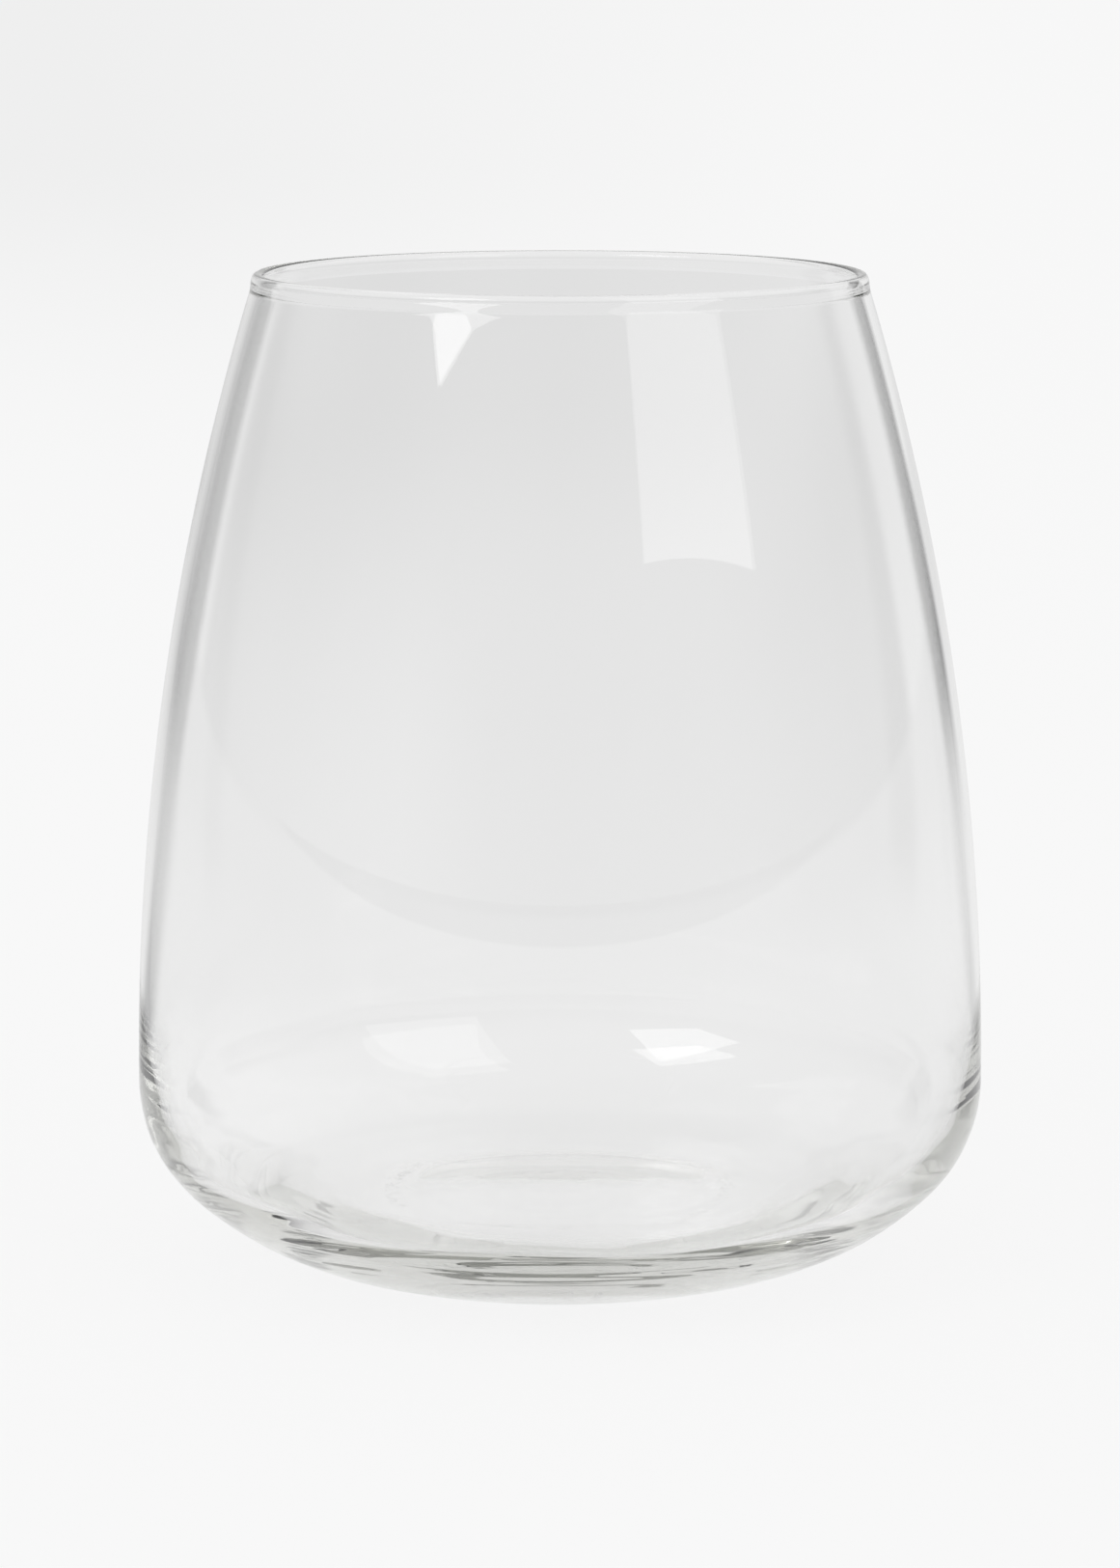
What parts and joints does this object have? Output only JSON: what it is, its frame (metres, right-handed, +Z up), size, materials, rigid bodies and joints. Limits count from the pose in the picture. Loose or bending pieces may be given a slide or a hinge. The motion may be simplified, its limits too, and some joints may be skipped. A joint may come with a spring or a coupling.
{
  "type": "tumbler",
  "caption": "Stemless drinking tumbler of clear glass: curved wall widening downwards, round shoulder, heavy base with a standing ring, fire-polished rim.",
  "frame": {"origin": "centre of the standing ring, on the surface that the tumbler stands on", "axes": "+Z up along the axis of revolution; X and Y are alike, because the glass is round"},
  "size_m": [0.091, 0.091, 0.1064],
  "materials": {
    "clear_glass": "polished, clear and colourless, faintly olive-grey where the glass is thick"
  },
  "bodies": {
    "root": {"tumbler": "clear_glass"}
  },
  "joints": []
}
